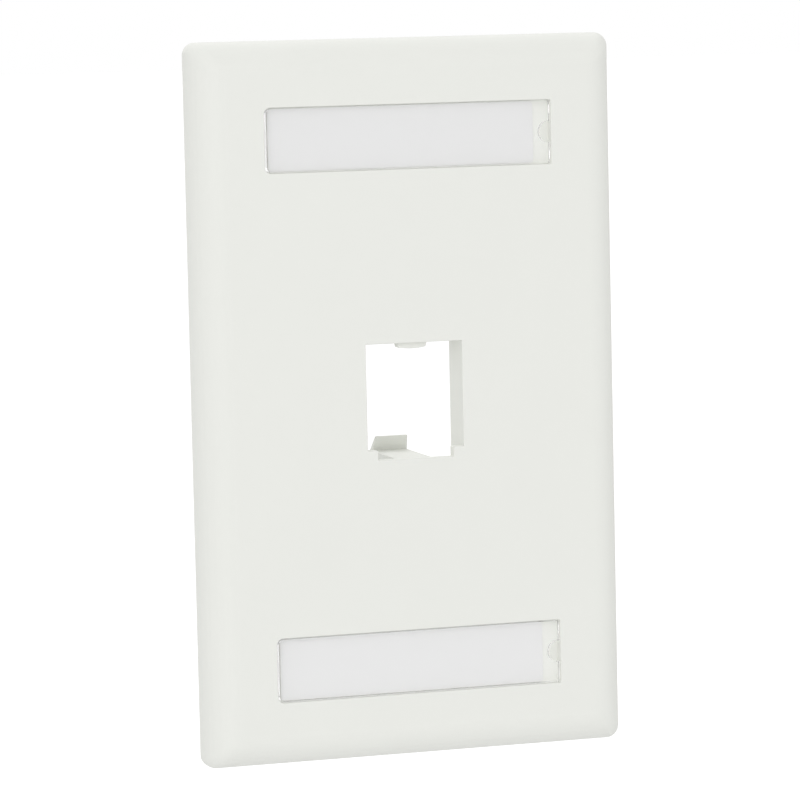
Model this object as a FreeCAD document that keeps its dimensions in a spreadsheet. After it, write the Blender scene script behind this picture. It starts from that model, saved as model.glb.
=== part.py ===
"""Single-gang faceplate for one snap-in module, with two covered label windows.

Frame: millimetres, +X to the right as seen from the front, +Y into the wall, +Z up.
The origin is the centre of the plate on the wall plane: the rim lies at Y = 0 and the
face at Y = -plate_depth.
"""
import FreeCAD, Part
import math
import os
import re
import Sketcher

# ---------------------------------------------------------------- driving dimensions

SIZES = {
    # outline and shell of the moulding
    "plate_width": 69.85,
    "plate_height": 114.3,
    "plate_depth": 6.65,
    "edge_inset": 5.0,
    "edge_drop": 5.0,
    "corner_radius": 2.0,
    "face_corner_radius": 1.0,
    "front_wall": 1.9,
    "skirt_wall": 1.8,
    "inner_corner_radius": 4.0,
    "inner_edge_radius": 3.4,
    # module opening and the collar round it
    "opening_width": 15.95,
    "opening_top": 9.13,
    "opening_bottom": 7.68,
    "notch_width": 12.6,
    "notch_drop": 1.6,
    "collar_wall": 1.3,
    "collar_depth": 6.5,
    "collar_tail": 4.5,
    # fixed catch at the top of the opening
    "catch_width": 4.95,
    "catch_tip_width": 4.6,
    "catch_drop": 1.0,
    "catch_bulge": 0.22,
    "catch_setback": 1.0,
    "catch_length": 1.8,
    # springy tongue behind the opening, with a hooked lip at its end
    "tongue_width": 6.0,
    "tongue_reach": 13.7,
    "tongue_rise": 0.15,
    "tongue_thickness": 1.3,
    "tongue_gusset": 0.9,
    "lip_height": 2.4,
    "lip_lean": 1.4,
    "lip_thickness": 1.1,
    "lip_tip_thickness": 0.7,
    "lip_tip_width": 5.35,
    # label windows and the pans behind them
    "window_width": 47.4,
    "window_height": 10.25,
    "window_left_radius": 1.0,
    "window_right_radius": 0.25,
    "pan_floor": 1.5,
    "pan_end_wall": 2.8,
    "pan_side_wall": 1.5,
    # clear covers
    "cover_gap": 0.17,
    "cover_thickness": 1.2,
    "pry_notch_radius": 1.7,
    "pry_notch_depth": 1.8,
    "tab_width": 2.6,
    "tab_spacing": 5.4,
    "tab_reach": 0.9,
    "tab_lip": 0.5,
    "tab_clearance": 0.1,
    "tab_swing_room": 0.35,
    "nib_height": 0.1,
    "nib_width": 1.4,
    "nib_spacing": 7.2,
    "nib_depth": 0.7,
    # paper cards
    "card_thickness": 0.25,
    "card_clearance": 0.05,
    "card_margin": 0.3,
    "card_tab_margin": 0.65,
    "card_free_end": 2.8,
    "card_corner_radius": 0.5,
    # screws, and their seats in the pans
    "screw_spacing": 83.34,
    "screw_diameter": 3.505,
    "screw_length": 25.4,
    "screw_tip_chamfer": 0.5,
    "neck_diameter": 2.95,
    "neck_run_out": 0.4,
    "head_diameter": 6.9,
    "head_angle": 82.0,
    "head_land": 0.25,
    "head_sink": 0.1,
    "slot_width": 1.1,
    "slot_depth": 0.9,
    "hole_diameter": 4.2,
    "seat_clearance": 0.1,
    "boss_diameter": 10.4,
    "boss_length": 2.4,
    # stiffening ribs on the back
    "rib_thickness": 1.1,
    "rib_height": 2.2,
}

# Worked out from the sizes above. Depths are counted from the face towards the wall.
WINDOW_DEPTH = "(cover_thickness + card_clearance + card_thickness)"
PAN_DEPTH = f"({WINDOW_DEPTH} + pan_floor)"
SIDE_HEIGHT = "(plate_depth - edge_drop)"
NOTCH_FLOOR = "(opening_bottom + notch_drop)"
SCREW_HEIGHT = "(screw_spacing / 2)"
COVER_LEFT = "(cover_gap - window_width / 2)"
COVER_RIGHT = "(window_width / 2 - cover_gap)"
COVER_TOP = "(window_height / 2 - cover_gap)"

ROUND_STEPS = 10         # lofted steps along the quarter round of the edge
OVERLAP = 0.5            # how far an added form reaches into what carries it
TINY = 1e-4              # how far apart two levels may be and still count as one

doc = FreeCAD.newDocument("Faceplate")
sheet = doc.addObject("Spreadsheet::Sheet", "Sizes")
for row, (alias, size) in enumerate(SIZES.items(), start=1):
    sheet.set(f"A{row}", alias)
    sheet.set(f"B{row}", str(size))
    sheet.setAlias(f"B{row}", alias)
doc.recompute()


def formula(text):
    """The text with each size's name pointing at its cell in the spreadsheet."""
    def cell(match):
        word = match.group(0)
        return f"Sizes.{word}" if word in SIZES else word
    return re.sub(r"[a-z_]+", cell, str(text))


def number(text):
    """What a formula comes to with the present sizes."""
    return float(sheet.evalExpression(formula(text)))


# ---------------------------------------------------------------- sketches

def new_body(label):
    body = doc.addObject("PartDesign::Body", label)
    body.Label = label
    return body


def plane_of(body, role):
    return next(item for item in body.Origin.OriginFeatures if item.Role == role)


def sketch_on(body, name, role, offset=0, rise=0):
    """A sketch on an origin plane, moved along its normal, and up it by rise."""
    sketch = body.newObject("Sketcher::SketchObject", name)
    sketch.AttachmentSupport = [(plane_of(body, role), "")]
    sketch.MapMode = "FlatFace"
    sketch.setExpression("AttachmentOffset.Base.z", formula(offset))
    sketch.setExpression("AttachmentOffset.Base.y", formula(rise))
    return sketch


def facing(body, name, depth):
    """A sketch parallel to the face, at a depth counted from the wall plane forward."""
    return sketch_on(body, name, "XZ_Plane", depth)


def bind(sketch, constraint, text):
    """Add a dimension and tie it to its formula."""
    index = sketch.addConstraint(constraint)
    sketch.setExpression(f"Constraints[{index}]", formula(text))


def place(sketch, geometry, end, point):
    """Hold one end of a curve at a point given by two formulas."""
    for kind, text in zip(("DistanceX", "DistanceY"), point):
        bind(sketch, Sketcher.Constraint(kind, -1, 1, geometry, end, number(text)), text)


def vector(point):
    return FreeCAD.Vector(number(point[0]), number(point[1]), 0)


def polygon(sketch, points):
    """A closed outline of straight lines through the points."""
    first = sketch.GeometryCount
    for start, end in zip(points, points[1:] + points[:1]):
        sketch.addGeometry(Part.LineSegment(vector(start), vector(end)), False)
    for step, point in enumerate(points):
        line = first + step
        place(sketch, line, 1, point)
        before = first + (step - 1) % len(points)
        sketch.addConstraint(Sketcher.Constraint("Coincident", before, 2, line, 1))


def rectangle(sketch, left, right, bottom, top):
    polygon(sketch, [(left, bottom), (right, bottom), (right, top), (left, top)])


def rounded_rectangle(sketch, left, right, bottom, top, left_radius, right_radius):
    """A rectangle whose left and right corners have radii of their own."""
    corners = [
        (right, bottom, right_radius, 1, -1),
        (right, top, right_radius, 1, 1),
        (left, top, left_radius, -1, 1),
        (left, bottom, left_radius, -1, -1),
    ]
    arcs = []
    for turn, (corner_x, corner_y, radius, side_x, side_y) in enumerate(corners):
        centre = (f"{corner_x} - {side_x} * ({radius})", f"{corner_y} - {side_y} * ({radius})")
        level = (centre[0], corner_y)
        upright = (corner_x, centre[1])
        start, end = (level, upright) if turn % 2 == 0 else (upright, level)
        circle = Part.Circle(vector(centre), FreeCAD.Vector(0, 0, 1), number(radius))
        sweep_from = math.radians(90 * (turn - 1))
        arc = sketch.addGeometry(Part.ArcOfCircle(circle, sweep_from, sweep_from + math.pi / 2), False)
        bind(sketch, Sketcher.Constraint("Radius", arc, number(radius)), radius)
        arcs.append((arc, start, end))
    for (arc, _, end), (next_arc, start, _) in zip(arcs, arcs[1:] + arcs[:1]):
        line = sketch.addGeometry(Part.LineSegment(vector(end), vector(start)), False)
        place(sketch, line, 1, end)
        place(sketch, line, 2, start)
        sketch.addConstraint(Sketcher.Constraint("Coincident", arc, 2, line, 1))
        sketch.addConstraint(Sketcher.Constraint("Coincident", line, 2, next_arc, 1))


def disc(sketch, centre, diameter):
    circle = Part.Circle(vector(centre), FreeCAD.Vector(0, 0, 1), number(diameter) / 2)
    index = sketch.addGeometry(circle, False)
    place(sketch, index, 3, centre)
    bind(sketch, Sketcher.Constraint("Diameter", index, number(diameter)), diameter)


# ---------------------------------------------------------------- features

def extrude(kind, body, name, sketch, length, backwards=False, both_ways=False):
    """A Pad or Pocket. A Pad goes along the sketch's normal, a Pocket against it."""
    feature = body.newObject(f"PartDesign::{kind}", name)
    feature.Profile = sketch
    feature.Reversed = backwards
    if both_ways:
        feature.SideType = "Symmetric"
    feature.setExpression("Length", formula(length))
    return feature


def pad(*arguments, **options):
    return extrude("Pad", *arguments, **options)


def pocket(*arguments, **options):
    return extrude("Pocket", *arguments, **options)


def loft(kind, body, name, sections):
    """An additive or subtractive loft through the sections."""
    feature = body.newObject(f"PartDesign::{kind}Loft", name)
    feature.Profile = sections[0]
    feature.Sections = sections[1:]
    return feature


def revolve(kind, body, name, sketch):
    """A Revolution or Groove about the sketch's horizontal axis, which runs along Y."""
    feature = body.newObject(f"PartDesign::{kind}", name)
    feature.Profile = sketch
    feature.ReferenceAxis = (sketch, ["H_Axis"])
    feature.Angle = 360
    return feature


def mirror(body, name, features):
    """The same features again, below the plane Z = 0."""
    feature = body.newObject("PartDesign::Mirrored", name)
    feature.Originals = features
    feature.MirrorPlane = (plane_of(body, "XY_Plane"), [""])
    body.Tip = feature
    return feature


# ---------------------------------------------------------------- the moulded plate

def edge_sections(body):
    """Outlines up the quarter round of the edge, from the side wall to the face."""
    sections = []
    for step in range(ROUND_STEPS + 1):
        angle = 90 * step / ROUND_STEPS
        inset = f"(edge_inset * (1 - cos({angle})))"
        radius = f"(corner_radius + (face_corner_radius - corner_radius) * (1 - cos({angle})))"
        sketch = facing(body, f"edge_{step}", f"{SIDE_HEIGHT} + edge_drop * sin({angle})")
        outline_of_plate(sketch, inset, radius)
        sections.append(sketch)
    return sections


def outline_of_plate(sketch, inset, radius):
    across = f"(plate_width / 2 - {inset})"
    up = f"(plate_height / 2 - {inset})"
    rounded_rectangle(sketch, f"(-{across})", across, f"(-{up})", up, radius, radius)


def shell_of(plate):
    """The convex plate, and the hollow that leaves its front wall and skirt."""
    side = facing(plate, "side_outline", 0)
    outline_of_plate(side, "0", "corner_radius")
    pad(plate, "side", side, SIDE_HEIGHT)
    loft("Additive", plate, "edge_round", edge_sections(plate))

    hollow = facing(plate, "hollow_outline", "plate_depth - front_wall")
    outline_of_plate(hollow, "skirt_wall", "inner_corner_radius")
    hollow_cut = pocket(plate, "hollow", hollow, "plate_depth")
    doc.recompute()
    fillet = plate.newObject("PartDesign::Fillet", "hollow_round")
    fillet.Base = (hollow_cut, edges_at_depth(hollow_cut, "front_wall"))
    fillet.setExpression("Radius", formula("inner_edge_radius"))


def edges_at_depth(feature, depth):
    """Names of the feature's edges that lie in the plane at that depth behind the face."""
    level = number(f"{depth} - plate_depth")
    names = []
    for index, edge in enumerate(feature.Shape.Edges, start=1):
        box = edge.BoundBox
        if abs(box.YMin - level) < TINY and abs(box.YMax - level) < TINY:
            names.append(f"Edge{index}")
    return names


def ribs_of(plate):
    """Two long ribs that tie the pans to the collar."""
    ribs = facing(plate, "rib_outline", "plate_depth - front_wall - rib_height")
    outer = "(opening_width / 2 + collar_wall)"
    inner = f"({outer} - rib_thickness)"
    end = f"({SCREW_HEIGHT} - window_height / 2 - pan_side_wall + {OVERLAP})"
    rectangle(ribs, inner, outer, f"(-{end})", end)
    rectangle(ribs, f"(-{outer})", f"(-{inner})", f"(-{end})", end)
    pad(plate, "ribs", ribs, f"rib_height + {OVERLAP}")


def opening_of(plate):
    """The collar with its open bottom, and the opening with its release notch."""
    side = "(opening_width / 2)"
    tail = "(-opening_bottom - collar_tail)"
    collar = facing(plate, "collar_outline", "plate_depth - collar_depth")
    rectangle(collar, f"(-{side} - collar_wall)", f"({side} + collar_wall)",
              tail, "(opening_top + collar_wall)")
    pad(plate, "collar", collar, f"collar_depth - front_wall + {OVERLAP}")

    well = facing(plate, "well_outline", "plate_depth - front_wall")
    rectangle(well, f"(-{side})", side, tail, "opening_top")
    pocket(plate, "well", well, "plate_depth")

    opening = facing(plate, "opening_outline", "plate_depth")
    notch = "(notch_width / 2)"
    polygon(opening, [
        (f"(-{side})", "opening_top"),
        (f"(-{side})", "(-opening_bottom)"),
        (f"(-{notch})", "(-opening_bottom)"),
        (f"(-{notch})", f"(-{NOTCH_FLOOR})"),
        (notch, f"(-{NOTCH_FLOOR})"),
        (notch, "(-opening_bottom)"),
        (side, "(-opening_bottom)"),
        (side, "opening_top"),
    ])
    pocket(plate, "opening", opening, "front_wall")


def catch_of(plate):
    """The fixed catch: a tapered nib with a bulged lower edge, set back from the face."""
    sketch = facing(plate, "catch_outline", "plate_depth - catch_setback - catch_length")
    wide = "(catch_width / 2)"
    tip = "(catch_tip_width / 2)"
    root = f"(opening_top + {OVERLAP})"
    shoulder = "(opening_top - catch_drop + catch_bulge)"
    corners = [
        (tip, shoulder), (wide, "opening_top"), (wide, root),
        (f"(-{wide})", root), (f"(-{wide})", "opening_top"), (f"(-{tip})", shoulder),
    ]
    for start, end in zip(corners, corners[1:]):
        line = sketch.addGeometry(Part.LineSegment(vector(start), vector(end)), False)
        place(sketch, line, 1, start)
        if line:
            sketch.addConstraint(Sketcher.Constraint("Coincident", line - 1, 2, line, 1))
    place(sketch, line, 2, corners[-1])
    lowest = ("0", "(opening_top - catch_drop)")
    bulge = sketch.addGeometry(Part.Arc(vector(corners[-1]), vector(lowest), vector(corners[0])), False)
    radius = "((catch_tip_width ^ 2 / 4 + catch_bulge ^ 2) / (2 * catch_bulge))"
    sketch.addConstraint(Sketcher.Constraint("Coincident", line, 2, bulge, 1))
    sketch.addConstraint(Sketcher.Constraint("Coincident", bulge, 2, 0, 1))
    bind(sketch, Sketcher.Constraint("Radius", bulge, number(radius)), radius)
    pad(plate, "catch", sketch, "catch_length")


def tongue_of(plate):
    """The springy tongue level with the notch's floor, and its tapered lip."""
    root = f"(front_wall - plate_depth - {OVERLAP})"
    wall = "(front_wall - plate_depth)"
    lip = "(tongue_reach - plate_depth)"
    end = f"({lip} + lip_thickness)"
    top = f"(-{NOTCH_FLOOR})"
    far_top = f"({top} + tongue_rise)"
    tip = f"({far_top} + lip_height)"
    profile = sketch_on(plate, "tongue_profile", "YZ_Plane")
    polygon(profile, [
        (root, top),
        (root, f"({top} - tongue_thickness - tongue_gusset)"),
        (wall, f"({top} - tongue_thickness - tongue_gusset)"),
        (f"({wall} + tongue_gusset)", f"({top} - tongue_thickness)"),
        (end, f"({far_top} - tongue_thickness)"),
        (end, far_top),
        (f"({lip} - lip_lean + lip_tip_thickness)", tip),
        (f"({lip} - lip_lean)", tip),
        (lip, far_top),
    ])
    pad(plate, "tongue", profile, "tongue_width", both_ways=True)

    taper = facing(plate, "lip_taper_outline", f"lip_lean + {OVERLAP} - {lip}")
    for side in (-1, 1):
        polygon(taper, [
            (f"({side} * tongue_width / 2)", far_top),
            (f"({side} * (tongue_width / 2 + {OVERLAP}))", far_top),
            (f"({side} * (tongue_width / 2 + {OVERLAP}))", f"({tip} + {OVERLAP})"),
            (f"({side} * lip_tip_width / 2)", f"({tip} + {OVERLAP})"),
            (f"({side} * lip_tip_width / 2)", tip),
        ])
    pocket(plate, "lip_taper", taper, f"lip_lean + lip_thickness + {2 * OVERLAP}")


def windows_of(plate):
    """A label window with its pan, tab slots, screw boss and seat, and its mirror image below."""
    left = "(window_width / 2)"
    pan = facing(plate, "pan_outline", f"plate_depth - {PAN_DEPTH}")
    rectangle(pan, f"(-{left} - pan_end_wall)", f"({left} + pan_end_wall)",
              f"({SCREW_HEIGHT} - window_height / 2 - pan_side_wall)",
              f"({SCREW_HEIGHT} + window_height / 2 + pan_side_wall)")
    pan_pad = pad(plate, "pan", pan, f"{PAN_DEPTH} - front_wall + {OVERLAP}")

    boss = facing(plate, "boss_outline", f"plate_depth - {PAN_DEPTH} - boss_length")
    disc(boss, ("0", SCREW_HEIGHT), "boss_diameter")
    boss_pad = pad(plate, "boss", boss, f"boss_length + {OVERLAP}")

    window = facing(plate, "window_outline", "plate_depth")
    rounded_rectangle(window, f"(-{left})", left, f"({SCREW_HEIGHT} - window_height / 2)",
                      f"({SCREW_HEIGHT} + window_height / 2)",
                      "window_left_radius", "window_right_radius")
    window_cut = pocket(plate, "window", window, WINDOW_DEPTH)

    slots = facing(plate, "tab_slot_outline", "plate_depth - tab_lip")
    for side in (-1, 1):
        middle = f"({SCREW_HEIGHT} + {side} * tab_spacing / 2)"
        rectangle(slots, f"(-{left} - tab_reach - tab_swing_room)", f"({COVER_LEFT} + tab_clearance)",
                  f"({middle} - tab_width / 2 - tab_clearance)",
                  f"({middle} + tab_width / 2 + tab_clearance)")
    slot_cut = pocket(plate, "tab_slots", slots, "plate_depth")

    seat = sketch_on(plate, "screw_seat_profile", "YZ_Plane", rise=SCREW_HEIGHT)
    floor = f"({WINDOW_DEPTH} - plate_depth)"
    mouth = "(head_diameter / 2 + seat_clearance)"
    hole = "(hole_diameter / 2)"
    land = f"({floor} + head_sink + head_land)"
    neck = f"({land} + ({mouth} - {hole}) / tan(head_angle / 2))"
    back = f"({PAN_DEPTH} - plate_depth + boss_length + {OVERLAP})"
    polygon(seat, [
        (f"({floor} - {OVERLAP})", "0"), (back, "0"), (back, hole),
        (neck, hole), (land, mouth), (f"({floor} - {OVERLAP})", mouth),
    ])
    seat_cut = revolve("Groove", plate, "screw_seat", seat)
    mirror(plate, "lower_window", [pan_pad, boss_pad, window_cut, slot_cut, seat_cut])


def make_faceplate():
    plate = new_body("faceplate")
    shell_of(plate)
    ribs_of(plate)
    opening_of(plate)
    catch_of(plate)
    tongue_of(plate)
    windows_of(plate)
    return plate


# ---------------------------------------------------------------- covers, cards and screws

def set_at(body, place_y, place_z):
    body.setExpression("Placement.Base.y", formula(place_y))
    body.setExpression("Placement.Base.z", formula(place_z))


def make_cover(label, height):
    """A clear pane with a pry notch on the right, two tabs on the left and two snap nibs.

    Its own origin is the middle of its window, on the face; +Y goes down into the window.
    """
    cover = new_body(label)
    outline = facing(cover, "pane_outline", 0)
    rounded_rectangle(outline, COVER_LEFT, COVER_RIGHT, f"(-{COVER_TOP})", COVER_TOP,
                      "(window_left_radius - cover_gap)", "window_right_radius")
    pad(cover, "pane", outline, "cover_thickness", backwards=True)

    notch = facing(cover, "pry_notch_outline", OVERLAP)
    disc(notch, (f"({COVER_RIGHT} - pry_notch_depth + pry_notch_radius)", "0"), "(2 * pry_notch_radius)")
    pocket(cover, "pry_notch", notch, f"cover_thickness + {2 * OVERLAP}")

    tab = sketch_on(cover, "tab_profile", "XY_Plane", "tab_spacing / 2")
    rectangle(tab, "(-window_width / 2 - tab_reach)", f"({COVER_LEFT} + window_left_radius)",
              "(tab_lip + tab_clearance)", "cover_thickness")
    tab_pad = pad(cover, "tab", tab, "tab_width", both_ways=True)

    nib = sketch_on(cover, "nib_profile", "XY_Plane", "nib_spacing / 2")
    polygon(nib, [
        (f"({COVER_RIGHT} - {OVERLAP})", "(nib_depth - 2 * nib_height)"),
        (COVER_RIGHT, "(nib_depth - 2 * nib_height)"),
        (f"({COVER_RIGHT} + nib_height)", "(nib_depth - nib_height)"),
        (f"({COVER_RIGHT} + nib_height)", "(nib_depth + nib_height)"),
        (COVER_RIGHT, "(nib_depth + 2 * nib_height)"),
        (f"({COVER_RIGHT} - {OVERLAP})", "(nib_depth + 2 * nib_height)"),
    ])
    nib_pad = pad(cover, "nib", nib, "nib_width", both_ways=True)
    mirror(cover, "lower_tab_and_nib", [tab_pad, nib_pad])
    set_at(cover, "-plate_depth", height)
    return cover


def make_card(label, height):
    """The paper card that lies on the window's floor. It stops short of the right end."""
    card = new_body(label)
    outline = facing(card, "card_outline", 0)
    edge = "(window_height / 2 - card_margin)"
    rounded_rectangle(outline, "(card_tab_margin - window_width / 2)",
                      "(window_width / 2 - card_free_end)", f"(-{edge})", edge,
                      "card_corner_radius", "card_corner_radius")
    pad(card, "paper", outline, "card_thickness")
    set_at(card, f"{WINDOW_DEPTH} - plate_depth", height)
    return card


def make_screw(label, height):
    """A countersunk machine screw with a straight slot. Its origin is the middle of its head.

    Under its head it has a bare neck as long as its seat, and beyond that its thread begins.
    """
    screw = new_body(label)
    profile = sketch_on(screw, "screw_profile", "YZ_Plane")
    rim = "(head_diameter / 2)"
    neck = "(neck_diameter / 2)"
    thread = "(screw_diameter / 2)"
    neck_end = "(pan_floor + boss_length - head_sink + neck_run_out)"
    polygon(profile, [
        ("0", "0"),
        ("screw_length", "0"),
        ("screw_length", f"({thread} - screw_tip_chamfer)"),
        ("(screw_length - screw_tip_chamfer)", thread),
        (f"({neck_end} + {thread} - {neck})", thread),
        (neck_end, neck),
        (f"(head_land + ({rim} - {neck}) / tan(head_angle / 2))", neck),
        ("head_land", rim),
        ("0", rim),
    ])
    revolve("Revolution", screw, "turned_form", profile)
    slot = facing(screw, "slot_outline", 0)
    slot_end = f"({rim} + {OVERLAP})"
    rectangle(slot, f"(-{slot_end})", slot_end, "(-slot_width / 2)", "(slot_width / 2)")
    pocket(screw, "slot", slot, "slot_depth")
    set_at(screw, f"{WINDOW_DEPTH} + head_sink - plate_depth", height)
    return screw


# ---------------------------------------------------------------- build, test and write

parts = [make_faceplate()]
for end, height in (("top", SCREW_HEIGHT), ("bottom", f"-{SCREW_HEIGHT}")):
    parts.append(make_cover(f"label_cover_{end}", height))
    parts.append(make_card(f"label_card_{end}", height))
    parts.append(make_screw(f"mounting_screw_{end}", height))
doc.recompute()

for item in doc.Objects:
    if "Invalid" in item.State or "Error" in item.State:
        raise RuntimeError(f"{item.Label} failed: {item.State}")
for part in parts:
    if part.Shape.isNull() or not part.Shape.isValid() or len(part.Shape.Solids) != 1:
        raise RuntimeError(f"{part.Label} isn't one sound solid")

os.makedirs("parts", exist_ok=True)
for part in parts:
    part.Shape.exportStep(f"parts/{part.Label}.step")
    box = part.Shape.BoundBox
    print(f"{part.Label}: {part.Shape.Volume:.1f} mm3, X {box.XMin:.2f} to {box.XMax:.2f}, "
          f"Y {box.YMin:.2f} to {box.YMax:.2f}, Z {box.ZMin:.2f} to {box.ZMax:.2f}")
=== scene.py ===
import math

import bmesh
import bpy
from bpy.props import FloatProperty, FloatVectorProperty, IntProperty, PointerProperty
from mathutils import Matrix, Vector


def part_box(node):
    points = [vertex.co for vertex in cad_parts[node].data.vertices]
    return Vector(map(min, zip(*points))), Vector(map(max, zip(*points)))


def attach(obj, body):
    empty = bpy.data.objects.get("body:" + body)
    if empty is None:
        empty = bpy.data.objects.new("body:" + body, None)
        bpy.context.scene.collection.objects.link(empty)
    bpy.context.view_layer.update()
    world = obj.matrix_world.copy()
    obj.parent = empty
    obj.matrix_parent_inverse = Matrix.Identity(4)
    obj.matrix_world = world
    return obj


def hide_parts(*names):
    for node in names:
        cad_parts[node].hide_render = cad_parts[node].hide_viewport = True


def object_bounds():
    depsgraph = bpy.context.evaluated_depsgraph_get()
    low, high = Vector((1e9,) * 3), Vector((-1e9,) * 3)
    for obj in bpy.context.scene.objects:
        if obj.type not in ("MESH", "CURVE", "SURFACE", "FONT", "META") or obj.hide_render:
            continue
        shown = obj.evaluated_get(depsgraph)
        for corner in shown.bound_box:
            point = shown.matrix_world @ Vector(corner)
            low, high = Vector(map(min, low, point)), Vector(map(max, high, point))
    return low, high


bl_info = {
    "name": "Label-Window Faceplate",
    "version": (1, 0, 0),
    "blender": (4, 5, 0),
    "location": "View3D > Sidebar > Faceplate",
    "description": "Dresses a moulded single-gang faceplate with clear label covers, cards and screws",
    "category": "Object",
}

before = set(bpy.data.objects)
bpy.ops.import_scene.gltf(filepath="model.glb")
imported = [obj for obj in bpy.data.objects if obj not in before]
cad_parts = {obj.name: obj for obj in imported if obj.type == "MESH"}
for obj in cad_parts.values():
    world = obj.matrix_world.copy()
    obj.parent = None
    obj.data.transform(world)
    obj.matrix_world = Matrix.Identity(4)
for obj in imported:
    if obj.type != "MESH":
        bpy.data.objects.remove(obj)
CAD_LOW, CAD_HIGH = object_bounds()

MM = 0.001
WELD = 1e-6                       # corners nearer than this are one corner
FLAT = math.radians(0.3)          # touching faces that turn less than this are one flat
CREASE = math.radians(35)         # a moulding's faces that turn more than this meet in a crisp edge
THREAD_CREASE = math.radians(30)  # the same for a screw's faces
LEAST_FLAT = 1e-6                 # area of the smallest flat whose edges are rounded
POINT_BACK = (-math.pi / 2, 0, 0)  # turns what points up so that it points back, into the wall
STAND_UP = (math.pi / 2, 0, 0)     # turns what lies flat so that it stands across the plate
WHITE = (1, 1, 1, 1)
ENDS = ("top", "bottom")


# ---------------------------------------------------------------- settings

class PlateSettings(bpy.types.PropertyGroup):
    """Finish of the moulded plate."""
    colour: FloatVectorProperty(
        name="Colour", description="Colour of the moulded plastic",
        subtype="COLOR", size=3, min=0, max=1, default=(0.823, 0.831, 0.791))
    roughness: FloatProperty(
        name="Roughness", description="How satin the plastic is", default=0.6, min=0, max=1)
    edge_radius: FloatProperty(
        name="Edge Radius", description="Rounding of the moulding's crisp edges",
        default=0.14 * MM, min=0, unit="LENGTH")
    mark_radius: FloatProperty(
        name="Ejector Mark Radius", description="Radius of the round marks that the ejector pins leave",
        default=1.9 * MM, min=0, unit="LENGTH")
    mark_height: FloatProperty(
        name="Ejector Mark Height", description="How proud the ejector marks stand on the back",
        default=0.08 * MM, min=0, unit="LENGTH")
    recess_marks: FloatVectorProperty(
        name="Marks in Recess", description="Width and height of the pattern of marks in the recess",
        size=2, min=0, unit="LENGTH", default=(38 * MM, 48 * MM))
    window_marks: FloatVectorProperty(
        name="Marks behind Windows", description="Width and height of the pattern behind the windows",
        size=2, min=0, unit="LENGTH", default=(36 * MM, 83.34 * MM))


class CoverSettings(bpy.types.PropertyGroup):
    """Finish of the clear covers."""
    colour: FloatVectorProperty(
        name="Tint", description="Colour that the clear plastic gives to what is behind it",
        subtype="COLOR", size=3, min=0, max=1, default=(1.0, 1.0, 1.0))
    roughness: FloatProperty(
        name="Roughness", description="How hazy the clear plastic is", default=0.03, min=0, max=1)
    edge_radius: FloatProperty(
        name="Edge Radius", description="Rounding of the covers' edges",
        default=0.1 * MM, min=0, unit="LENGTH")
    bounces: IntProperty(
        name="Bounces", description="How often light bounces before a cover lets it straight out",
        default=5, min=0)


class CardSettings(bpy.types.PropertyGroup):
    """Finish of the paper cards."""
    colour: FloatVectorProperty(
        name="Colour", description="Colour of the paper",
        subtype="COLOR", size=3, min=0, max=1, default=(0.77, 0.77, 0.77))


class ScrewSettings(bpy.types.PropertyGroup):
    """Thread and finish of the mounting screws."""
    pitch: FloatProperty(
        name="Pitch", description="Distance from one turn of the thread to the next",
        default=25.4 / 32 * MM, min=0, unit="LENGTH")
    thread_depth: FloatProperty(
        name="Thread Depth", description="Height of the thread's crest above its root",
        default=0.46 * MM, min=0, unit="LENGTH")
    sides: IntProperty(
        name="Sides", description="Steps round one turn of the thread", default=36, min=8)
    colour: FloatVectorProperty(
        name="Colour", description="Colour of the zinc plating",
        subtype="COLOR", size=3, min=0, max=1, default=(0.55, 0.555, 0.56))


class StageSettings(bpy.types.PropertyGroup):
    """Floor, light and camera."""
    floor_drop: FloatProperty(
        name="Floor Drop", description="Distance from the plate's lower edge down to the floor",
        default=0.2, min=0, unit="LENGTH")
    ambient: FloatProperty(
        name="Ambient", description="Strength of the light from all round", default=0.76, min=0)
    left_power: FloatProperty(
        name="Left Light", description="Power of the soft light in front on the left",
        default=5.4, min=0, unit="POWER")
    right_power: FloatProperty(
        name="Right Light", description="Power of the soft light in front on the right",
        default=1.8, min=0, unit="POWER")
    top_power: FloatProperty(
        name="Top Light", description="Power of the soft light above and behind",
        default=6.5, min=0, unit="POWER")
    light_size: FloatProperty(
        name="Light Size", description="Width and height of each soft light",
        default=1.2, min=0, unit="LENGTH")
    azimuth: FloatProperty(
        name="Azimuth", description="Turn of the camera round the plate, from straight in front",
        default=math.radians(-18.18), subtype="ANGLE")
    elevation: FloatProperty(
        name="Elevation", description="Height of the camera above the plate's middle, as an angle",
        default=math.radians(5.48), subtype="ANGLE")
    roll: FloatProperty(
        name="Roll", description="Turn of the camera about its line of sight",
        default=math.radians(-1.264), subtype="ANGLE")
    distance: FloatProperty(
        name="Distance", description="From the camera to the point it looks at",
        default=701.3 * MM, min=0, unit="LENGTH")
    lens: FloatProperty(
        name="Lens", description="Focal length of the camera", default=197.9, min=1)
    aim: FloatVectorProperty(
        name="Aim", description="Point that the camera looks at",
        subtype="XYZ", unit="LENGTH", size=3, default=(-0.33 * MM, 0.06 * MM, -0.51 * MM))


# ---------------------------------------------------------------- node helpers

def node(tree, kind, settings=None, inputs=None):
    """A node of that kind, with its settings made and its inputs joined or filled in."""
    made = tree.nodes.new(kind)
    for name, value in (settings or {}).items():
        setattr(made, name, value)
    for name, value in (inputs or {}).items():
        if isinstance(value, bpy.types.NodeSocket):
            tree.links.new(value, made.inputs[name])
        else:
            made.inputs[name].default_value = value
    return made


def maths(tree, operation, *values):
    """A Math node's result."""
    made = node(tree, "ShaderNodeMath", {"operation": operation}, dict(enumerate(values)))
    return made.outputs["Value"]


def mix_shaders(tree, share, first, second):
    """A mix of two shaders. Its sockets share a name, so they are filled in by number."""
    mix = node(tree, "ShaderNodeMixShader", inputs={0: share, 1: first, 2: second})
    return mix.outputs["Shader"]


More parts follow.
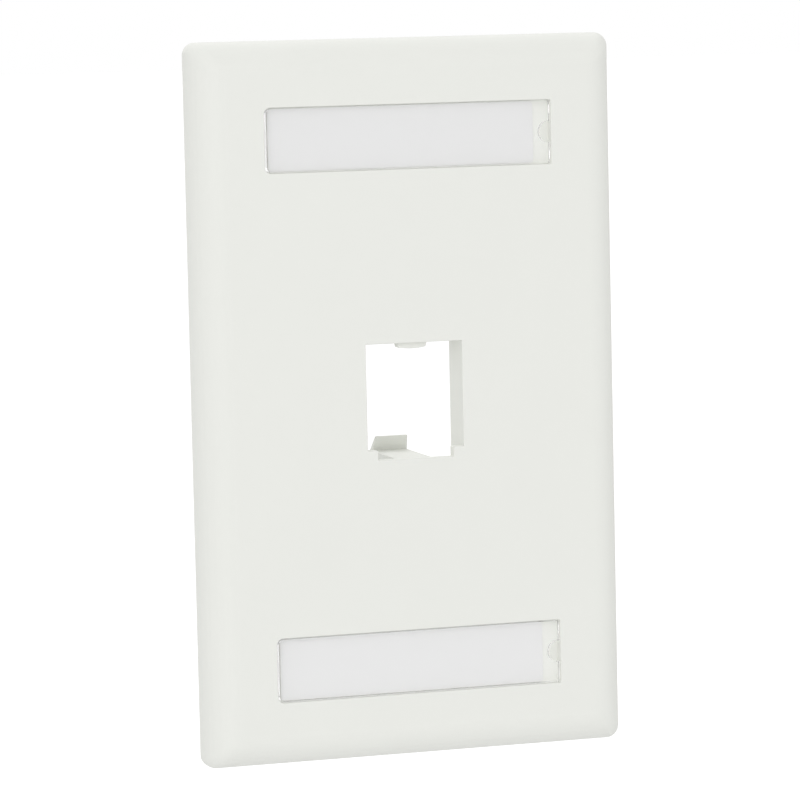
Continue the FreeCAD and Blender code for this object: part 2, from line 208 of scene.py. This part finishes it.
def new_material(name, **surface):
    """A material with one Principled shader, and the shader's tree and itself to build on."""
    material = bpy.data.materials.new(name)
    material.use_nodes = True
    tree = material.node_tree
    shader = tree.nodes["Principled BSDF"]
    for socket, value in surface.items():
        shader.inputs[socket.replace("_", " ")].default_value = value
    return material, tree, shader


def object_noise(tree, scale, detail, stretch=(1, 1, 1)):
    """Noise that stays with the piece. Scale is in features for each metre."""
    coordinates = node(tree, "ShaderNodeTexCoord").outputs["Object"]
    mapping = node(tree, "ShaderNodeMapping", inputs={"Vector": coordinates, "Scale": stretch})
    noise = node(tree, "ShaderNodeTexNoise", inputs={
        "Vector": mapping.outputs["Vector"], "Scale": scale, "Detail": detail})
    return noise.outputs["Fac"]


def vary_colour(tree, shader, colour, amount, noise):
    """The colour, a little darker and lighter as the noise goes.

    A Mix node has sockets of the same name for each kind of value, so the colour's go by number.
    """
    darker = [channel * (1 - amount) for channel in colour] + [1]
    lighter = [min(channel * (1 + amount), 1) for channel in colour] + [1]
    mix = node(tree, "ShaderNodeMix", {"data_type": "RGBA"}, {0: noise, 6: darker, 7: lighter})
    tree.links.new(mix.outputs[2], shader.inputs["Base Color"])


def vary_roughness(tree, shader, low, high, noise):
    """Roughness that goes from low to high as the noise goes."""
    spread = node(tree, "ShaderNodeMapRange", inputs={
        "Value": noise, "To Min": low, "To Max": high})
    tree.links.new(spread.outputs["Result"], shader.inputs["Roughness"])


def add_bump(tree, shader, height, strength, noise):
    """A fine relief of that height, too shallow to show in an outline."""
    bump = node(tree, "ShaderNodeBump", inputs={
        "Height": noise, "Strength": strength, "Distance": height})
    tree.links.new(bump.outputs["Normal"], shader.inputs["Normal"])


# ---------------------------------------------------------------- materials

def moulded_plastic(settings):
    """Satin off-white plastic with the fine grain of a spark-eroded mould."""
    material, tree, shader = new_material("satin_moulded_plastic", IOR=1.5, Specular_IOR_Level=0.15)
    vary_colour(tree, shader, settings.colour, amount=0.008,
                noise=object_noise(tree, scale=90, detail=4))
    unevenness = 0.05
    vary_roughness(tree, shader, low=settings.roughness - unevenness,
                   high=settings.roughness + unevenness,
                   noise=object_noise(tree, scale=700, detail=3))
    add_bump(tree, shader, height=0.006 * MM, strength=0.35,
             noise=object_noise(tree, scale=5200, detail=2))
    return material


def clear_plastic(settings):
    """Clear polycarbonate with a faint haze from handling.

    It lets the lamps' light through, and light that is trapped between its faces gets out.
    """
    material, tree, shader = new_material("clear_polished_plastic", IOR=1.58)
    shader.inputs["Base Color"].default_value = [*settings.colour, 1]
    shader.inputs["Transmission Weight"].default_value = 1
    vary_roughness(tree, shader, low=settings.roughness * 0.5, high=settings.roughness * 1.5,
                   noise=object_noise(tree, scale=260, detail=3))
    light_path = node(tree, "ShaderNodeLightPath").outputs
    lighting = maths(tree, "MAXIMUM", light_path["Is Shadow Ray"], light_path["Is Diffuse Ray"])
    trapped = maths(tree, "GREATER_THAN", light_path["Ray Depth"], settings.bounces + 0.5)
    unseen = node(tree, "ShaderNodeBsdfTransparent").outputs["BSDF"]
    clear = mix_shaders(tree, maths(tree, "MAXIMUM", lighting, trapped),
                        shader.outputs["BSDF"], unseen)
    tree.links.new(clear, tree.nodes["Material Output"].inputs["Surface"])
    return material


def card_paper(settings):
    """Uncoated white card with short fibres in it."""
    material, tree, shader = new_material("plain_card_paper", Roughness=0.9, IOR=1.4)
    fibres = object_noise(tree, scale=900, detail=6, stretch=(0.25, 1, 1))
    vary_colour(tree, shader, settings.colour, amount=0.012, noise=fibres)
    add_bump(tree, shader, height=0.01 * MM, strength=0.4, noise=fibres)
    return material


def zinc_plating(settings):
    """Bright zinc over turned steel, a little cloudy."""
    material, tree, shader = new_material("zinc_plated_steel", Metallic=1.0)
    clouds = object_noise(tree, scale=420, detail=4)
    vary_colour(tree, shader, settings.colour, amount=0.07, noise=clouds)
    vary_roughness(tree, shader, low=0.24, high=0.4, noise=clouds)
    add_bump(tree, shader, height=0.004 * MM, strength=0.3,
             noise=object_noise(tree, scale=3000, detail=3))
    return material


def give_material(piece, material):
    """Makes this the piece's only material."""
    piece.data.materials.clear()
    piece.data.materials.append(material)


# ---------------------------------------------------------------- mesh helpers

def new_piece(name, mesh):
    """An object of the scene with that mesh."""
    piece = bpy.data.objects.new(name, mesh)
    bpy.context.scene.collection.objects.link(piece)
    return piece


def merged_copy(node_name):
    """A CAD node's mesh with its loose triangles joined and each flat made whole, ready to work on."""
    work = bmesh.new()
    work.from_mesh(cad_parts[node_name].data)
    bmesh.ops.remove_doubles(work, verts=work.verts, dist=WELD)
    bmesh.ops.dissolve_limit(work, angle_limit=FLAT, verts=work.verts, edges=work.edges)
    return work


def mesh_from(work, name):
    """Ends the work on a mesh, and drops the shading that came with the CAD node."""
    mesh = bpy.data.meshes.new(name)
    work.to_mesh(mesh)
    work.free()
    for layer in ("custom_normal", "sharp_face", "sharp_edge"):
        if layer in mesh.attributes:
            mesh.attributes.remove(mesh.attributes[layer])
    return mesh


def number_flats(work):
    """Numbers the flats, writes each face's number in a layer of its own, and adds up their areas."""
    number = work.faces.layers.int.new("flat")
    areas, seen = [], set()
    for seed in work.faces:
        if seed in seen:
            continue
        seen.add(seed)
        todo, area = [seed], 0
        while todo:
            face = todo.pop()
            face[number] = len(areas)
            area += face.calc_area()
            near = [other for edge in face.edges for other in edge.link_faces
                    if other not in seen and other.normal.angle(face.normal) < FLAT]
            seen.update(near)
            todo += dict.fromkeys(near)
        areas.append(area)
    return number, areas


def fill_anew(work, faces):
    """Takes a flat's faces away and fills its outlines again, holes and all."""
    normal = faces[0].normal.copy()
    inside = set(faces)
    edges = list(dict.fromkeys(edge for face in faces for edge in face.edges))
    seams = [edge for edge in edges if inside.issuperset(edge.link_faces)]
    outline = [edge for edge in edges if not inside.issuperset(edge.link_faces)]
    bmesh.ops.delete(work, geom=seams, context="EDGES_FACES")
    filled = bmesh.ops.triangle_fill(work, edges=outline, normal=normal, use_beauty=True)["geom"]
    new_faces = [item for item in filled if isinstance(item, bmesh.types.BMFace)]
    for face in new_faces:
        face.normal_update()
        if face.normal.dot(normal) < 0:
            face.normal_flip()
    new_edges = [item for item in filled if isinstance(item, bmesh.types.BMEdge)]
    bmesh.ops.dissolve_limit(work, angle_limit=FLAT, verts=[], edges=new_edges)


def round_edges(work, radius):
    """Rounds the outward edges round the larger flats of a moulding.

    A flat with holes in it is several faces, and the seams between them can graze a hole's edge. The
    rounding would fold over there, so such a flat is filled anew afterwards. An edge stays crisp where
    the unrounded edge beside it is shorter than the radius, as at the slivers beside the tab slots: the
    rounding would overrun it and fold the flat across the slot.
    """
    number, areas = number_flats(work)
    crisp = [edge for edge in work.edges
             if edge.is_convex and edge.calc_face_angle() > CREASE
             and max(areas[face[number]] for face in edge.link_faces) > LEAST_FLAT]
    chosen = set(crisp)
    roomy = [edge for edge in crisp
             if not any(near not in chosen and near.calc_length() < radius
                        for corner in edge.verts for near in corner.link_edges)]
    rounding = bmesh.ops.bevel(work, geom=roomy, offset=radius, offset_type="OFFSET", segments=3,
                               profile=0.5, affect="EDGES", loop_slide=False)
    rounded = set(rounding["faces"])
    flats = {}
    for face in work.faces:
        if face not in rounded:
            flats.setdefault(face[number], []).append(face)
    for faces in flats.values():
        if len(faces) > 1:
            fill_anew(work, faces)


def shade_moulding(piece):
    """Smooth rounded edges between flats that stay flat."""
    piece.data.shade_smooth()
    piece.data.set_sharp_from_angle(angle=CREASE)
    shading = piece.modifiers.new("even_shading", "WEIGHTED_NORMAL")
    shading.keep_sharp = True


def bake_nodes(piece, tree, values):
    """Runs a node tree on the piece with these inputs, and keeps its result as a plain mesh."""
    modifier = piece.modifiers.new(tree.name, "NODES")
    modifier.node_group = tree
    for item in tree.interface.items_tree:
        if item.in_out == "INPUT" and item.name in values:
            modifier[item.identifier] = values[item.name]
    bpy.context.view_layer.update()
    evaluated = piece.evaluated_get(bpy.context.evaluated_depsgraph_get())
    mesh = bpy.data.meshes.new_from_object(evaluated)
    piece.modifiers.remove(modifier)
    piece.data = mesh


def mend_mesh(mesh):
    """Joins doubled corners and turns every face outwards."""
    work = bmesh.new()
    work.from_mesh(mesh)
    bmesh.ops.remove_doubles(work, verts=work.verts, dist=WELD)
    bmesh.ops.recalc_face_normals(work, faces=work.faces)
    work.to_mesh(mesh)
    work.free()


# ---------------------------------------------------------------- geometry node trees

def new_geometry_tree(name, inputs):
    """A geometry tree with named inputs, and its group input and output nodes."""
    tree = bpy.data.node_groups.new(name, "GeometryNodeTree")
    tree.interface.new_socket("Geometry", in_out="INPUT", socket_type="NodeSocketGeometry")
    for label, kind in inputs:
        tree.interface.new_socket(label, in_out="INPUT", socket_type=f"NodeSocket{kind}")
    tree.interface.new_socket("Geometry", in_out="OUTPUT", socket_type="NodeSocketGeometry")
    return tree, node(tree, "NodeGroupInput").outputs, node(tree, "NodeGroupOutput")


def finish_tree(tree, geometry, material, output):
    """Realize Instances and Set Material, then the tree's output."""
    real = node(tree, "GeometryNodeRealizeInstances", inputs={"Geometry": geometry})
    painted = node(tree, "GeometryNodeSetMaterial", inputs={
        "Geometry": real.outputs["Geometry"], "Material": material})
    tree.links.new(painted.outputs["Geometry"], output.inputs["Geometry"])


def thread_tree():
    """A screw's threaded shank, joined to the head that comes in.

    The skin is a grid wound round the axis. Four rows of it make one turn of the thread: both
    sides of the crest, then both sides of the root. Each turn rises by one pitch, so the last
    column of a row meets the first column of the row four further on.
    """
    tree, given, output = new_geometry_tree("threaded_shank", [
        ("Major Radius", "Float"), ("Root Radius", "Float"), ("Pitch", "Float"),
        ("Start", "Float"), ("End", "Float"), ("Point Length", "Float"), ("Sides", "Int"),
        ("Place", "Vector"), ("Material", "Material")])
    rows_per_turn = 4.0
    rows_on_crest = 2
    spare_turns = 2.0    # the winding runs past both ends, and is pressed flat there
    start, end, pitch = given["Start"], given["End"], given["Pitch"]

    turns = maths(tree, "CEIL", maths(tree, "DIVIDE", maths(tree, "SUBTRACT", end, start), pitch))
    row_count = maths(tree, "MULTIPLY", maths(tree, "ADD", turns, spare_turns), rows_per_turn)

    # The grid is 1 wide and 1 high about its middle, so adding a half makes each run from 0 to 1.
    grid = node(tree, "GeometryNodeMeshGrid", inputs={
        "Size X": 1.0, "Size Y": 1.0,
        "Vertices X": maths(tree, "ADD", given["Sides"], 1.0),
        "Vertices Y": maths(tree, "ADD", row_count, 1.0)})
    position = node(tree, "ShaderNodeSeparateXYZ", inputs={
        "Vector": node(tree, "GeometryNodeInputPosition").outputs["Position"]})
    around = maths(tree, "ADD", position.outputs["X"], 0.5)
    row = maths(tree, "ROUND", maths(tree, "MULTIPLY",
                                     maths(tree, "ADD", position.outputs["Y"], 0.5), row_count))
    turn = maths(tree, "FLOOR", maths(tree, "DIVIDE", maths(tree, "ADD", row, 0.5), rows_per_turn))
    part = maths(tree, "SUBTRACT", row, maths(tree, "MULTIPLY", turn, rows_per_turn))

    # Shares of a pitch. The other flank takes up the rest.
    crest_width, flank_width, root_width = 1 / 8, 5 / 16, 1 / 4
    along = turn
    for next_row, share in enumerate((crest_width, flank_width, root_width), start=1):
        reached = maths(tree, "GREATER_THAN", part, next_row - 0.5)
        along = maths(tree, "MULTIPLY_ADD", reached, share, along)
    on_crest = maths(tree, "LESS_THAN", part, rows_on_crest - 0.5)

    wound = maths(tree, "SUBTRACT", maths(tree, "ADD", along, around), 1.0)
    height = maths(tree, "MULTIPLY_ADD", wound, pitch, start)
    run_in = maths(tree, "MINIMUM", 1.0, maths(tree, "DIVIDE",
                                               maths(tree, "SUBTRACT", height, start), pitch))
    run_out = maths(tree, "DIVIDE", maths(tree, "SUBTRACT", end, height), given["Point Length"])
    growth = maths(tree, "MAXIMUM", 0.0, maths(tree, "MINIMUM", run_in, run_out))
    depth = maths(tree, "SUBTRACT", given["Major Radius"], given["Root Radius"])
    crest = maths(tree, "MULTIPLY", maths(tree, "MULTIPLY", on_crest, growth), depth)
    radius = maths(tree, "ADD", given["Root Radius"], crest)
    level = maths(tree, "MINIMUM", end, maths(tree, "MAXIMUM", start, height))
    angle = maths(tree, "MULTIPLY", around, 2 * math.pi)
    wrapped = node(tree, "ShaderNodeCombineXYZ", inputs={
        "X": maths(tree, "MULTIPLY", radius, maths(tree, "COSINE", angle)),
        "Y": maths(tree, "MULTIPLY", radius, maths(tree, "SINE", angle)),
        "Z": level})
    skin = node(tree, "GeometryNodeSetPosition", inputs={
        "Geometry": grid.outputs["Mesh"], "Position": wrapped.outputs["Vector"]})

    caps = []
    for cap_level in (start, end):
        disc = node(tree, "GeometryNodeMeshCircle", {"fill_type": "NGON"}, {
            "Vertices": given["Sides"], "Radius": given["Root Radius"]})
        lifted = node(tree, "GeometryNodeTransform", inputs={
            "Geometry": disc.outputs["Mesh"],
            "Translation": node(tree, "ShaderNodeCombineXYZ",
                                inputs={"Z": cap_level}).outputs["Vector"]})
        caps.append(lifted.outputs["Geometry"])
    flipped = node(tree, "GeometryNodeFlipFaces", inputs={"Mesh": caps[0]})
    join = node(tree, "GeometryNodeJoinGeometry")
    for part_of_skin in (skin.outputs["Geometry"], flipped.outputs["Mesh"], caps[1]):
        tree.links.new(part_of_skin, join.inputs["Geometry"])
    welded = node(tree, "GeometryNodeMergeByDistance", inputs={
        "Geometry": join.outputs["Geometry"], "Distance": WELD})
    turned = node(tree, "GeometryNodeTransform", inputs={
        "Geometry": welded.outputs["Geometry"], "Translation": given["Place"],
        "Rotation": POINT_BACK})
    union = node(tree, "GeometryNodeMeshBoolean", {"operation": "UNION", "solver": "EXACT"})
    for solid in (given["Geometry"], turned.outputs["Geometry"]):
        tree.links.new(solid, union.inputs["Mesh 2"])
    finish_tree(tree, union.outputs["Mesh"], given["Material"], output)
    return tree


def mark_tree():
    """Round ejector marks on the back of the moulding that comes in, which itself doesn't come out.

    A grid of points stands behind the moulding, and each point is moved forwards until it meets it.
    There it takes a low cone, the lower half of which is sunk in the moulding.
    """
    sides = 40
    forwards = (0, -1, 0)
    reach = 1.0    # far more than a moulding is deep
    tree, given, output = new_geometry_tree("ejector_marks", [
        ("Across", "Float"), ("Up", "Float"), ("Columns", "Int"), ("Rows", "Int"),
        ("Behind", "Vector"), ("Radius", "Float"), ("Height", "Float"), ("Material", "Material")])
    grid = node(tree, "GeometryNodeMeshGrid", inputs={
        "Size X": given["Across"], "Size Y": given["Up"],
        "Vertices X": given["Columns"], "Vertices Y": given["Rows"]})
    behind = node(tree, "GeometryNodeTransform", inputs={
        "Geometry": grid.outputs["Mesh"], "Translation": given["Behind"], "Rotation": STAND_UP})
    met = node(tree, "GeometryNodeRaycast", inputs={
        "Target Geometry": given["Geometry"], "Ray Direction": forwards, "Ray Length": reach})
    seated = node(tree, "GeometryNodeSetPosition", inputs={
        "Geometry": behind.outputs["Geometry"], "Position": met.outputs["Hit Position"]})
    mark = node(tree, "GeometryNodeMeshCone", {"fill_type": "NGON"}, {
        "Vertices": sides, "Radius Bottom": given["Radius"],
        "Radius Top": maths(tree, "SUBTRACT", given["Radius"], given["Height"]),
        "Depth": maths(tree, "MULTIPLY", given["Height"], 2.0)})
    sunk = node(tree, "ShaderNodeCombineXYZ", inputs={
        "Z": maths(tree, "MULTIPLY", given["Height"], -1.0)}).outputs["Vector"]
    half_sunk = node(tree, "GeometryNodeTransform", inputs={
        "Geometry": mark.outputs["Mesh"], "Translation": sunk})
    marks = node(tree, "GeometryNodeInstanceOnPoints", inputs={
        "Points": seated.outputs["Geometry"], "Instance": half_sunk.outputs["Geometry"],
        "Rotation": POINT_BACK})
    finish_tree(tree, marks.outputs["Instances"], given["Material"], output)
    return tree


# ---------------------------------------------------------------- screw helpers

def thread_of(work, middle):
    """Where a screw's thread starts, where its tip is, and the thread's outer radius.

    The thread is the longest stretch of the screw between two rings of corners.
    """
    decimals = 6    # levels that agree to a thousandth of a millimetre are one ring
    radius_at = {}
    for corner in work.verts:
        level = round(corner.co.y, decimals)
        radius = math.hypot(corner.co.x, corner.co.z - middle)
        radius_at[level] = max(radius_at.get(level, 0), radius)
    levels = sorted(radius_at)
    start, _ = max(zip(levels, levels[1:]), key=lambda stretch: stretch[1] - stretch[0])
    return start, levels[-1], radius_at[start]


def cut_off(work, level):
    """Cuts a screw off at a level, and closes the cut."""
    everything = work.verts[:] + work.edges[:] + work.faces[:]
    cut = bmesh.ops.bisect_plane(work, geom=everything, plane_co=(0, level, 0),
                                 plane_no=(0, 1, 0), clear_outer=True, dist=WELD)
    rim = [item for item in cut["geom_cut"] if isinstance(item, bmesh.types.BMEdge)]
    bmesh.ops.contextual_create(work, geom=rim)
    bmesh.ops.recalc_face_normals(work, faces=work.faces)


# ---------------------------------------------------------------- operators

class FACEPLATE_OT_make_plate(bpy.types.Operator):
    """Make the moulded plate, with its rounded edges and the ejector marks on its back"""
    bl_idname = "faceplate.make_plate"
    bl_label = "Moulded Plate"

    def execute(self, context):
        settings = context.scene.faceplate_plate
        material = moulded_plastic(settings)
        work = merged_copy("faceplate")
        round_edges(work, settings.edge_radius)
        plate = new_piece("plate_moulding", mesh_from(work, "plate_moulding"))
        give_material(plate, material)
        shade_moulding(plate)
        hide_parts("faceplate")
        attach(plate, "plate")

        tree = mark_tree()
        well_behind = (0, CAD_HIGH.y * 2, 0)
        patterns = (("recess", settings.recess_marks, 3), ("windows", settings.window_marks, 2))
        for place, (across, up), rows in patterns:
            marks = new_piece(f"ejector_marks_{place}", plate.data.copy())
            bake_nodes(marks, tree, {
                "Across": across, "Up": up, "Columns": 2, "Rows": rows, "Behind": well_behind,
                "Radius": settings.mark_radius, "Height": settings.mark_height,
                "Material": material})
            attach(marks, "plate")
        return {"FINISHED"}


class FACEPLATE_OT_make_covers(bpy.types.Operator):
    """Make the two clear covers"""
    bl_idname = "faceplate.make_covers"
    bl_label = "Clear Covers"

    def execute(self, context):
        settings = context.scene.faceplate_covers
        material = clear_plastic(settings)
        for end in ENDS:
            work = merged_copy(f"label_cover_{end}")
            round_edges(work, settings.edge_radius)
            cover = new_piece(f"clear_cover_{end}", mesh_from(work, f"clear_cover_{end}"))
            give_material(cover, material)
            shade_moulding(cover)
            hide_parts(f"label_cover_{end}")
            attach(cover, f"{end}_cover")
        return {"FINISHED"}


class FACEPLATE_OT_finish_cards(bpy.types.Operator):
    """Give the two paper cards their finish"""
    bl_idname = "faceplate.finish_cards"
    bl_label = "Paper Cards"

    def execute(self, context):
        material = card_paper(context.scene.faceplate_cards)
        for end in ENDS:
            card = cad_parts[f"label_card_{end}"]
            give_material(card, material)
        return {"FINISHED"}


class FACEPLATE_OT_make_screws(bpy.types.Operator):
    """Make the two mounting screws with their threads"""
    bl_idname = "faceplate.make_screws"
    bl_label = "Mounting Screws"

    def execute(self, context):
        settings = context.scene.faceplate_screws
        material = zinc_plating(settings)
        tree = thread_tree()
        for end in ENDS:
            cad_node = f"mounting_screw_{end}"
            low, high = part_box(cad_node)
            middle = (low.z + high.z) / 2
            work = merged_copy(cad_node)
            start, point, major_radius = thread_of(work, middle)
            cut_off(work, start)
            joined = settings.pitch / 4    # how far the threaded shank reaches into the neck
            screw = new_piece(f"threaded_screw_{end}", mesh_from(work, f"threaded_screw_{end}"))
            bake_nodes(screw, tree, {
                "Major Radius": major_radius,
                "Root Radius": major_radius - settings.thread_depth,
                "Pitch": settings.pitch,
                "Start": start - joined,
                "End": point,
                "Point Length": settings.pitch,
                "Sides": settings.sides,
                "Place": (0, 0, middle),
                "Material": material})
            mend_mesh(screw.data)
            screw.data.shade_smooth()
            screw.data.set_sharp_from_angle(angle=THREAD_CREASE)
            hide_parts(cad_node)
            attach(screw, "plate")
        return {"FINISHED"}


class FACEPLATE_OT_set_stage(bpy.types.Operator):
    """Set the floor, the light and the camera"""
    bl_idname = "faceplate.set_stage"
    bl_label = "Stage"

    def execute(self, context):
        settings = context.scene.faceplate_stage
        make_floor(settings)
        make_world(settings)
        for name, offset, power in (("left_light", LEFT_LIGHT, settings.left_power),
                                    ("right_light", RIGHT_LIGHT, settings.right_power),
                                    ("top_light", TOP_LIGHT, settings.top_power)):
            add_softbox(name, Vector(offset), settings.light_size, power)
        place_camera(settings)
        context.scene.view_settings.view_transform = "Standard"
        return {"FINISHED"}


# ---------------------------------------------------------------- stage

# Where each soft light stands, from the middle of the plate.
LEFT_LIGHT = (-0.7, -1.2, 0.35)
RIGHT_LIGHT = (1.1, -1.1, 0.15)
TOP_LIGHT = (0.0, 0.9, 1.2)

FLOOR_HALF = 15.0    # half the floor's width
FLOOR_GREY = 0.78
FLOOR_GLOW = 0.5     # how strongly the floor shines where it is seen directly


def seen_directly(tree):
    """One for a ray from the camera or one that came by a mirror or through clear plastic."""
    light_path = node(tree, "ShaderNodeLightPath").outputs
    return maths(tree, "MAXIMUM", light_path["Is Camera Ray"],
                 maths(tree, "MAXIMUM", light_path["Is Glossy Ray"],
                       light_path["Is Transmission Ray"]))


def make_floor(settings):
    """A wide pale floor below the plate. It takes shadows and looks white."""
    level = CAD_LOW.z - settings.floor_drop
    mesh = bpy.data.meshes.new("floor")
    corners = [(side * FLOOR_HALF, end * FLOOR_HALF, level)
               for side, end in ((-1, -1), (1, -1), (1, 1), (-1, 1))]
    mesh.from_pydata(corners, [], [(0, 1, 2, 3)])
    floor = new_piece("floor", mesh)
    material, tree, shader = new_material("pale_floor", Roughness=0.9)
    shader.inputs["Base Color"].default_value = (FLOOR_GREY, FLOOR_GREY, FLOOR_GREY, 1)
    shader.inputs["Emission Color"].default_value = WHITE
    glow = maths(tree, "MULTIPLY", seen_directly(tree), FLOOR_GLOW)
    tree.links.new(glow, shader.inputs["Emission Strength"])
    give_material(floor, material)


def make_world(settings):
    """Even light from all round, which is plain white where it is seen directly."""
    world = bpy.data.worlds.new("studio")
    world.use_nodes = True
    tree = world.node_tree
    tree.nodes.clear()
    even = node(tree, "ShaderNodeBackground", inputs={
        "Color": WHITE, "Strength": settings.ambient}).outputs["Background"]
    plain = node(tree, "ShaderNodeBackground", inputs={
        "Color": WHITE, "Strength": 1.0}).outputs["Background"]
    mix = mix_shaders(tree, seen_directly(tree), even, plain)
    node(tree, "ShaderNodeOutputWorld", inputs={"Surface": mix})
    bpy.context.scene.world = world


def add_softbox(name, offset, size, power):
    """A square soft light, set off from the plate's middle and turned towards it."""
    light = bpy.data.lights.new(name, "AREA")
    light.size = size
    light.energy = power
    softbox = bpy.data.objects.new(name, light)
    softbox.location = (CAD_LOW + CAD_HIGH) / 2 + offset
    softbox.rotation_euler = (-offset).to_track_quat("-Z", "Y").to_euler()
    bpy.context.scene.collection.objects.link(softbox)


def place_camera(settings):
    """The camera circles its aim by azimuth, then elevation, and turns by roll."""
    camera = bpy.data.objects.new("camera", bpy.data.cameras.new("camera"))
    camera.data.lens = settings.lens
    camera.data.clip_start = 0.01
    turn = (Matrix.Rotation(settings.azimuth, 4, "Z")
            @ Matrix.Rotation(math.pi / 2 - settings.elevation, 4, "X")
            @ Matrix.Rotation(settings.roll, 4, "Z"))
    backwards = turn @ Vector((0, 0, settings.distance))
    camera.matrix_world = Matrix.Translation(Vector(settings.aim) + backwards) @ turn
    bpy.context.scene.collection.objects.link(camera)
    bpy.context.scene.camera = camera


# ---------------------------------------------------------------- panel and registration

SECTIONS = (
    ("faceplate_plate", PlateSettings, FACEPLATE_OT_make_plate),
    ("faceplate_covers", CoverSettings, FACEPLATE_OT_make_covers),
    ("faceplate_cards", CardSettings, FACEPLATE_OT_finish_cards),
    ("faceplate_screws", ScrewSettings, FACEPLATE_OT_make_screws),
    ("faceplate_stage", StageSettings, FACEPLATE_OT_set_stage),
)


class VIEW3D_PT_faceplate(bpy.types.Panel):
    """The faceplate's pieces and their settings"""
    bl_label = "Faceplate"
    bl_idname = "VIEW3D_PT_faceplate"
    bl_space_type = "VIEW_3D"
    bl_region_type = "UI"
    bl_category = "Faceplate"

    def draw(self, context):
        for group_name, group, operator in SECTIONS:
            box = self.layout.box()
            box.operator(operator.bl_idname)
            for setting in group.__annotations__:
                box.prop(getattr(context.scene, group_name), setting)


def register():
    """Registers each piece's settings and operator, and the panel."""
    for group_name, group, operator in SECTIONS:
        bpy.utils.register_class(group)
        bpy.utils.register_class(operator)
        setattr(bpy.types.Scene, group_name, PointerProperty(type=group))
    bpy.utils.register_class(VIEW3D_PT_faceplate)


def unregister():
    """Takes back all that register did, in the opposite order."""
    bpy.utils.unregister_class(VIEW3D_PT_faceplate)
    for group_name, group, operator in reversed(SECTIONS):
        delattr(bpy.types.Scene, group_name)
        bpy.utils.unregister_class(operator)
        bpy.utils.unregister_class(group)


def main():
    """Makes every piece and the stage."""
    register()
    bpy.ops.faceplate.make_plate()
    bpy.ops.faceplate.make_covers()
    bpy.ops.faceplate.finish_cards()
    bpy.ops.faceplate.make_screws()
    bpy.ops.faceplate.set_stage()


if __name__ == "__main__":
    main()
